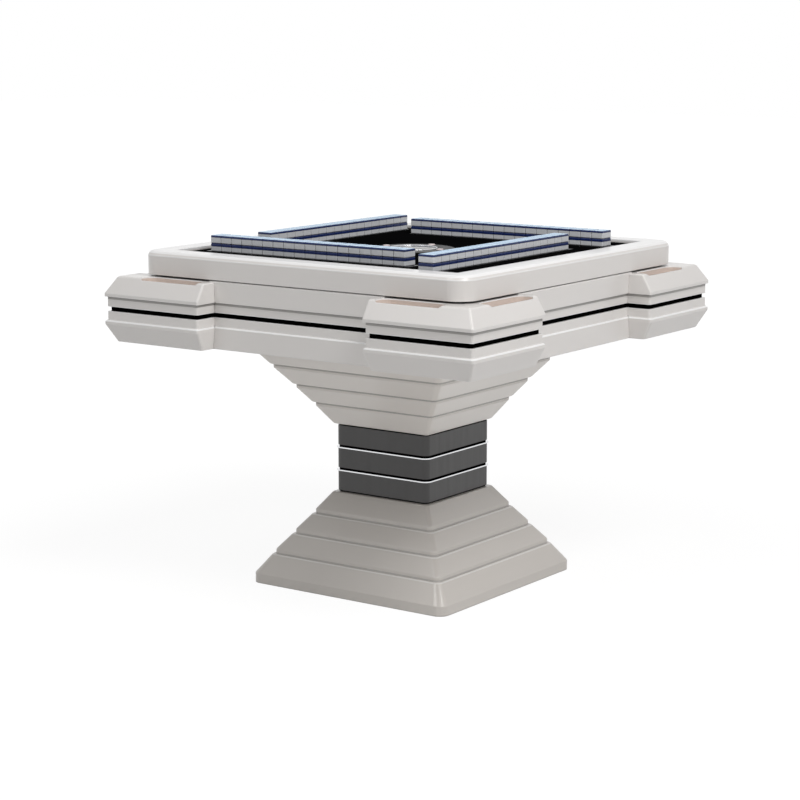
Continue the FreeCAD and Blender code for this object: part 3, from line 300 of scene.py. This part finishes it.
def moulded(name, colour, rough=0.3, metallic=0.0, coat=0.0, patch=0.03, patch_scale=7.0,
            grain_scale=700.0, grain_depth=0.00003, wave_depth=0.0, wear=0.05, smudges=0.2,
            edge_radius=0.0008, highlight_lift=1.35, crease=0.0, stretch=(1, 1, 1), inside=None,
            lines=(), settings=None):
    """Moulded, painted or metal surface with patches, smudges, grain, and edge wear that is also
    painted lighter as a highlight; where asked, with painted shade and highlight near inner
    corners and along level lines.
    """
    mat, tree, output = shader_tree(name)
    place = object_place(tree)
    coords = add(tree, "ShaderNodeMapping", {"Vector": place, "Scale": stretch}).outputs[0]
    broad = noise(tree, place, patch_scale, 3)
    fine = noise(tree, coords, patch_scale * STAIN_FINER, 5, 0.65)
    base = blend_colour(tree, broad, scaled(colour, 1 - patch), scaled(colour, 1 + patch))
    base = blend_colour(tree, spread(tree, fine, 0, patch * STAIN_SHARE), base,
                        scaled(colour, STAIN_TONE))
    if inside:
        base = blend_colour(tree, in_pockets(tree, place, POCKET_FLOOR, BRIM_FOOT), base, inside)
        # Painted highlight along the pockets' brims
        base = blend_colour(tree, in_pockets(tree, place, BRIM_FOOT, BRIM_TOP), base, WHITE)
    base = paint_light_lines(tree, place, base, lines)
    wear_and_highlight_mask, creased, rounded = edge_mask(tree, edge_radius)
    # Painted shade under overhangs and painted highlight above ledges, near inner corners
    if crease:
        base = paint_corner_light(tree, base, creased, crease, scaled(colour, OVERHANG_SHADE_TONE), WHITE)
    scuffs = noise(tree, place, SCUFF_SCALE, 5, 0.7)
    # Edge wear, with the edges also painted lighter as a highlight
    edge_wear_and_highlight = product(tree, wear_and_highlight_mask,
                   spread(tree, scuffs, wear * LEAST_WEAR_AND_HIGHLIGHT, wear * MOST_WEAR_AND_HIGHLIGHT))
    base = blend_colour(tree, edge_wear_and_highlight, base, scaled(colour, highlight_lift))
    smudge = remap(tree, fine, SMUDGE_STARTS, SMUDGE_FULL, rough * (1 - smudges),
                   rough * (1 + smudges))
    roughness = maths(tree, "ADD", smudge, product(tree, edge_wear_and_highlight, WORN_ROUGHER))
    grain = noise(tree, coords, grain_scale, 2)
    normal = bumped(tree, grain, grain_depth, GRAIN_STRENGTH, Normal=rounded)
    if wave_depth:
        wave = noise(tree, place, WAVE_SCALE, 1)
        normal = bumped(tree, wave, wave_depth, 1.0, Normal=normal)
    principled(tree, output,
               {"Base Color": base, "Roughness": roughness, "Metallic": metallic,
                "Coat Weight": coat, "Coat Roughness": COAT_ROUGHNESS, "Normal": normal,
                **(settings or {})})
    return mat


def woven(name, colour):
    """Short-pile table cloth: a soft weave with fuzz and faint wear."""
    mat, tree, output = shader_tree(name)
    place = object_place(tree)
    threads = {"Vector": place, "Scale": THREAD_SCALE, "Distortion": 1.2, "Detail": 2.0}
    warp, weft = (add(tree, "ShaderNodeTexWave", threads, wave_type="BANDS",
                      bands_direction=axis).outputs["Fac"] for axis in "XY")
    fuzz = noise(tree, place, FUZZ_SCALE, 3, 0.7)
    lie = noise(tree, place, LIE_SCALE, 4)
    height = maths(tree, "ADD", product(tree, warp, weft), product(tree, fuzz, FUZZ_SHARE))
    base = blend_colour(tree, lie, scaled(colour, 0.75), scaled(colour, 1.4))
    base = blend_colour(tree, spread(tree, fuzz, 0, 0.5), base, scaled(colour, 1.8))
    principled(tree, output,
               {"Base Color": base, "Roughness": spread(tree, lie, 0.82, 0.95),
                "Normal": bumped(tree, height, CLOTH_DEPTH, 0.7), "Specular IOR Level": 0.0})
    return mat


def tile_resin(name):
    """Two-colour game tile: a pale body with a blue back, by height within each layer, with a
    painted highlight on the upper layer's top faces and painted shade in the creases between
    tiles.
    """
    mat, tree, output = shader_tree(name)
    place = object_place(tree)
    z = split(tree, place)["Z"]
    level = maths(tree, "MODULO", maths(tree, "SUBTRACT", z, TILE_FOOT), TILE_LAYER)
    upper = maths(tree, "GREATER_THAN", z, TILE_FOOT + TILE_LAYER)
    seam = maths(tree, "ADD", product(tree, upper, UPPER_BACK_RISE), BACK_FROM)
    is_back = maths(tree, "GREATER_THAN", level, seam)
    joint = maths(tree, "COMPARE", level, seam, JOINT_HALF)
    near_top = maths(tree, "GREATER_THAN", z, TILE_FOOT + TILE_LAYER * TOP_FACE_FROM)
    up = split(tree, add(tree, "ShaderNodeNewGeometry").outputs["Normal"])["Z"]
    # Painted highlight: faces of the upper layer that point up get a lighter blue
    painted_top_mask = product(tree, near_top, maths(tree, "GREATER_THAN", up, FACES_UP))
    mottle = noise(tree, place, 90, 3)
    bone = blend_colour(tree, mottle, srgb(222, 225, 229), srgb(232, 234, 238))
    blue = blend_colour(tree, mottle, srgb(14, 34, 88), srgb(20, 44, 104))
    light = blend_colour(tree, mottle, srgb(170, 210, 246), srgb(184, 220, 250))
    back = blend_colour(tree, painted_top_mask, blue, light)
    base = blend_colour(tree, is_back, bone, back)
    base = blend_colour(tree, product(tree, joint, 0.6), base, srgb(18, 34, 74))
    # Painted shade in the creases between the tiles
    creased = remap(tree, open_share(tree, TILE_CREASE_REACH), TILE_CREASE_STARTS,
                    TILE_CREASE_FULL)
    base = blend_colour(tree, product(tree, creased, 0.65), base, srgb(20, 24, 44))
    normal = bumped(tree, noise(tree, place, 300, 3), 0.00002, 0.5)
    principled(tree, output,
               {"Base Color": base, "Roughness": spread(tree, mottle, 0.2, 0.32),
                "Normal": normal, "Specular IOR Level": 0.35})
    return mat


def clear_plastic(name):
    """Smoky clear plastic with a faint haze."""
    mat, tree, output = shader_tree(name)
    haze = noise(tree, object_place(tree), 120, 4)
    principled(tree, output,
               {"Base Color": srgb(120, 124, 130), "Roughness": spread(tree, haze, 0.02, 0.09),
                "Transmission Weight": 0.95, "IOR": 1.49,
                "Normal": bumped(tree, haze, 0.00001, 0.3)})
    return mat


def circuit(name):
    """Circuit board with a grid of pads and faint tracks."""
    mat, tree, output = shader_tree(name)
    place = object_place(tree)
    tracks = add(tree, "ShaderNodeTexBrick",
                 {"Vector": place, "Scale": TRACK_SCALE, "Mortar Size": 0.012,
                  "Color1": srgb(20, 92, 52), "Color2": srgb(24, 104, 60),
                  "Mortar": srgb(60, 140, 90)}).outputs["Color"]
    pads = add(tree, "ShaderNodeTexVoronoi", {"Vector": place, "Scale": PAD_SCALE}).outputs[0]
    is_pad = maths(tree, "LESS_THAN", pads, PAD_RADIUS)
    base = blend_colour(tree, is_pad, tracks, srgb(190, 190, 180))
    principled(tree, output,
               {"Base Color": base, "Roughness": spread(tree, pads, 0.3, 0.45),
                "Normal": bumped(tree, is_pad, 0.0001, 0.5)})
    return mat


def materials():
    """The finish of each of the record's material slots."""
    # The body's edges carry wear and a strong painted highlight, and its inner corners painted
    # shade and highlight
    body = dict(rough=0.3, coat=0.25, patch=0.012, patch_scale=4.0, wave_depth=0.00005,
                grain_depth=0.000004, smudges=0.08, wear=0.8, edge_radius=0.0022,
                highlight_lift=1.5, crease=0.9)
    housing = dict(body, lines=HOUSING_PAINTED_LIGHT)
    machine = dict(rough=0.5, wear=0.12, patch=0.1)
    finishes = {
        "pad_rubber": (srgb(38, 38, 38), dict(rough=0.75, patch=0.1)),
        "base_steel": (srgb(46, 46, 48), dict(rough=0.45, coat=0.1)),
        "base_grey": (srgb(211, 206, 200), dict(body, lines=BASE_PAINTED_LIGHT)),
        "post_steel": (srgb(44, 44, 46), dict(rough=0.45)),
        "bolt_steel": (srgb(186, 188, 190), dict(rough=0.35, metallic=1.0)),
        "liner_black": (srgb(2, 2, 2), dict(rough=0.6, settings={"Specular IOR Level": 0.0})),
        "panel_dark": (srgb(66, 65, 65), dict(rough=0.42, coat=0.1, patch=0.04,
                                              stretch=(1, 1, 0.06), grain_scale=500)),
        "band_chrome": (srgb(226, 227, 230), dict(rough=0.1, metallic=1.0, wear=0.02,
                                                  stretch=(1, 1, 8), grain_depth=0.00001)),
        "cowl_grey": (srgb(240, 235, 229), dict(body, lines=COWL_PAINTED_SHADE)),
        "frame_steel": (srgb(52, 53, 55), machine),
        "pan_steel": (srgb(60, 61, 63), machine),
        "deck_steel": (srgb(176, 178, 180), dict(rough=0.42, metallic=0.7, patch=0.08,
                                                 patch_scale=22, wear=0.1)),
        "side_grey": (BODY_GREY, housing),
        "box_grey": (BODY_GREY, dict(housing, inside=srgb(228, 214, 205))),
        "trim_black": (srgb(3, 3, 3), dict(rough=0.5, wear=0.02,
                                           settings={"Specular IOR Level": 0.0})),
        "rim_grey": (BODY_GREY, dict(body, lines=RIM_PAINTED_LIGHT, edge_radius=0.0012)),
        "board_wood": (srgb(168, 140, 104), dict(rough=0.75, patch=0.12, patch_scale=30,
                                                 grain_scale=260, grain_depth=0.0002)),
        "buffer_rubber": (srgb(36, 36, 36), dict(rough=0.75)),
        "lift_plastic": (srgb(58, 58, 60), dict(rough=0.4)),
        "machine_black": (srgb(40, 40, 42), machine),
        "machine_grey": (srgb(150, 152, 154), machine),
        "drum_plastic": (srgb(70, 70, 73), machine),
        "turntable_plastic": (srgb(56, 56, 59), machine),
        "wheel_plastic": (srgb(216, 216, 212), dict(rough=0.35, wear=0.1)),
        "roller_rubber": (srgb(42, 42, 42), dict(rough=0.8)),
        "belt_rubber": (srgb(28, 74, 46), dict(rough=0.7, patch=0.1, grain_scale=1200,
                                               grain_depth=0.0001)),
        "supply_metal": (srgb(198, 199, 201), dict(rough=0.38, metallic=0.9, patch=0.08,
                                                   patch_scale=30)),
        "inlet_black": (srgb(20, 20, 21), dict(rough=0.5)),
        "switch_red": (srgb(184, 30, 28), dict(rough=0.3)),
        "console_black": (srgb(15, 15, 17), dict(rough=0.34, wear=0.04,
                                                 settings={"Specular IOR Level": 0.06})),
        "column_steel": (srgb(180, 181, 184), dict(rough=0.3, metallic=1.0,
                                                   stretch=(1, 1, 30))),
        "button_pink": (srgb(238, 222, 222), dict(rough=0.3, wear=0.04, edge_radius=0.0004)),
        "plate_white": (srgb(60, 60, 62), dict(rough=0.3)),
        "dice_white": (srgb(240, 238, 232), dict(rough=0.25, edge_radius=0.0004)),
    }
    looks = {name: moulded(name, colour, **finish)
             for name, (colour, finish) in finishes.items()}
    looks["cloth_black"] = woven("cloth_black", srgb(10, 10, 11))
    looks["tile_resin"] = tile_resin("tile_resin")
    looks["circuit_green"] = circuit("circuit_green")
    looks["dome_clear"] = clear_plastic("dome_clear")
    return looks


def make_camera():
    data = bpy.data.cameras.new("camera")
    data.sensor_width = SENSOR_MM
    data.lens = FOCAL_PX / SIDE_PX * data.sensor_width
    data.shift_x = (SIDE_PX / 2 - CENTRE_PX[0]) / SIDE_PX
    data.shift_y = (CENTRE_PX[1] - SIDE_PX / 2) / SIDE_PX
    data.clip_end = CLIP_END
    camera = bpy.data.objects.new("camera", data)
    bpy.context.scene.collection.objects.link(camera)
    back = Vector((math.sin(AZIMUTH) * math.cos(ELEVATION),
                   -math.cos(AZIMUTH) * math.cos(ELEVATION), math.sin(ELEVATION)))
    right = Vector((math.cos(AZIMUTH), math.sin(AZIMUTH), 0))
    up = back.cross(right)
    turn = Matrix((right, up, back)).transposed() @ Matrix.Rotation(ROLL, 3, "Z")
    camera.matrix_world = Matrix.Translation(CAMERA_M) @ turn.to_4x4()
    bpy.context.scene.camera = camera


def area_light(name, place, side, watts, colour):
    data = bpy.data.lights.new(name, "AREA")
    data.shape = "RECTANGLE"
    data.size = data.size_y = side
    data.energy = watts
    data.color = colour
    lamp = bpy.data.objects.new(name, data)
    bpy.context.scene.collection.objects.link(lamp)
    aim = Vector(LAMP_TARGET) - Vector(place)
    lamp.matrix_world = (Matrix.Translation(place)
                         @ aim.to_track_quat("-Z", "Y").to_matrix().to_4x4())


def seen_directly(tree):
    """1 for camera, glossy and transmission rays, 0 for the rays that carry light."""
    path = add(tree, "ShaderNodeLightPath")
    seen = maths(tree, "MAXIMUM", path.outputs["Is Camera Ray"], path.outputs["Is Glossy Ray"])
    return maths(tree, "MAXIMUM", seen, path.outputs["Is Transmission Ray"])


def make_world():
    """White where it is seen, and dimmer for the light that it gives."""
    world = bpy.data.worlds.new("studio")
    bpy.context.scene.world = world
    world.use_nodes = True
    tree = world.node_tree
    tree.nodes.clear()
    strength = spread(tree, seen_directly(tree), SKY_LIGHT, 1.0)
    sky = add(tree, "ShaderNodeBackground", {"Color": WHITE, "Strength": strength})
    output = add(tree, "ShaderNodeOutputWorld")
    tree.links.new(sky.outputs[0], output.inputs[0])


def far_glow(tree):
    """The floor's own brightness, a little higher away from the table."""
    distance = add(tree, "ShaderNodeVectorMath", {0: object_place(tree)},
                   operation="LENGTH").outputs["Value"]
    return remap(tree, distance, GLOW_GROWS_FROM, GLOW_GROWS_TO, GLOW_NEAR, GLOW_FAR)


def make_floor():
    mesh = bpy.data.meshes.new("floor")
    corners = [(x * FLOOR_REACH, y * FLOOR_REACH, 0)
               for x, y in ((-1, -1), (1, -1), (1, 1), (-1, 1))]
    mesh.from_pydata(corners, [], [(0, 1, 2, 3)])
    floor = bpy.data.objects.new("floor", mesh)
    bpy.context.scene.collection.objects.link(floor)
    mat, tree, output = shader_tree("floor_pale")
    seen = seen_directly(tree)
    tone = blend_colour(tree, seen, grey(FLOOR_BOUNCE), grey(FLOOR_SEEN))
    diffuse = add(tree, "ShaderNodeBsdfDiffuse", {"Color": tone})
    glow = add(tree, "ShaderNodeEmission",
               {"Color": WHITE, "Strength": product(tree, seen, far_glow(tree))})
    both = add(tree, "ShaderNodeAddShader", {0: diffuse.outputs[0], 1: glow.outputs[0]})
    tree.links.new(both.outputs[0], output.inputs[0])
    mesh.materials.append(mat)


def revolved(name, profile, segments=96):
    """Closed ring from (radius, z) points turned about the vertical axis."""
    form = bmesh.new()
    rings = []
    for i in range(segments):
        angle = 2 * math.pi * i / segments
        rings.append([form.verts.new((r * math.cos(angle), r * math.sin(angle), z))
                      for r, z in profile])
    for i, ring in enumerate(rings):
        after = rings[(i + 1) % segments]
        for k in range(len(profile)):
            m = (k + 1) % len(profile)
            form.faces.new((ring[k], after[k], after[m], ring[m]))
    bmesh.ops.recalc_face_normals(form, faces=form.faces)
    mesh = bpy.data.meshes.new(name)
    form.to_mesh(mesh)
    form.free()
    for polygon in mesh.polygons:
        polygon.use_smooth = True
    mesh.set_sharp_from_angle(angle=SMOOTH_BELOW)
    piece = bpy.data.objects.new(name, mesh)
    bpy.context.scene.collection.objects.link(piece)
    return piece


def make_console_trim(chrome):
    """Bright ring round the dome, sunk into the console's groove."""
    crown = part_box("console_housing")[1].z
    profile = [(RING_INNER, crown - RING_SUNK),
               (RING_INNER, crown + RING_SHOULDER),
               (RING_INNER + RING_EDGE, crown + RING_CROWN),
               (RING_OUTER - RING_EDGE, crown + RING_CROWN),
               (RING_OUTER, crown + RING_SHOULDER),
               (RING_OUTER, crown - RING_SUNK)]
    ring = revolved("console_ring", profile)
    ring.data.materials.append(chrome)
    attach(ring, "console")


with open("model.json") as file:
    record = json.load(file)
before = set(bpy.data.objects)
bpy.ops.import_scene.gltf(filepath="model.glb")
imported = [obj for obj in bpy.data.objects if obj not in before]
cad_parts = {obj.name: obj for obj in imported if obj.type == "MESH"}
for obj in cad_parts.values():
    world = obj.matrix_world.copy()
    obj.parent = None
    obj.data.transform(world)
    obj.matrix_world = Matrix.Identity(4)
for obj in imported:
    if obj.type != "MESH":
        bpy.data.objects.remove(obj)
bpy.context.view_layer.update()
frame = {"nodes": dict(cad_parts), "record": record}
bpy.context.scene.view_settings.view_transform = "Standard"
make_camera()

looks = materials()
for part in frame["record"]["subparts"]:
    node = frame["nodes"][part["node"]]
    node.data.materials.clear()
    node.data.materials.append(looks[part["material_slot"]])

make_console_trim(looks["band_chrome"])

make_world()
make_floor()
for lamp in LAMPS:
    area_light(*lamp)
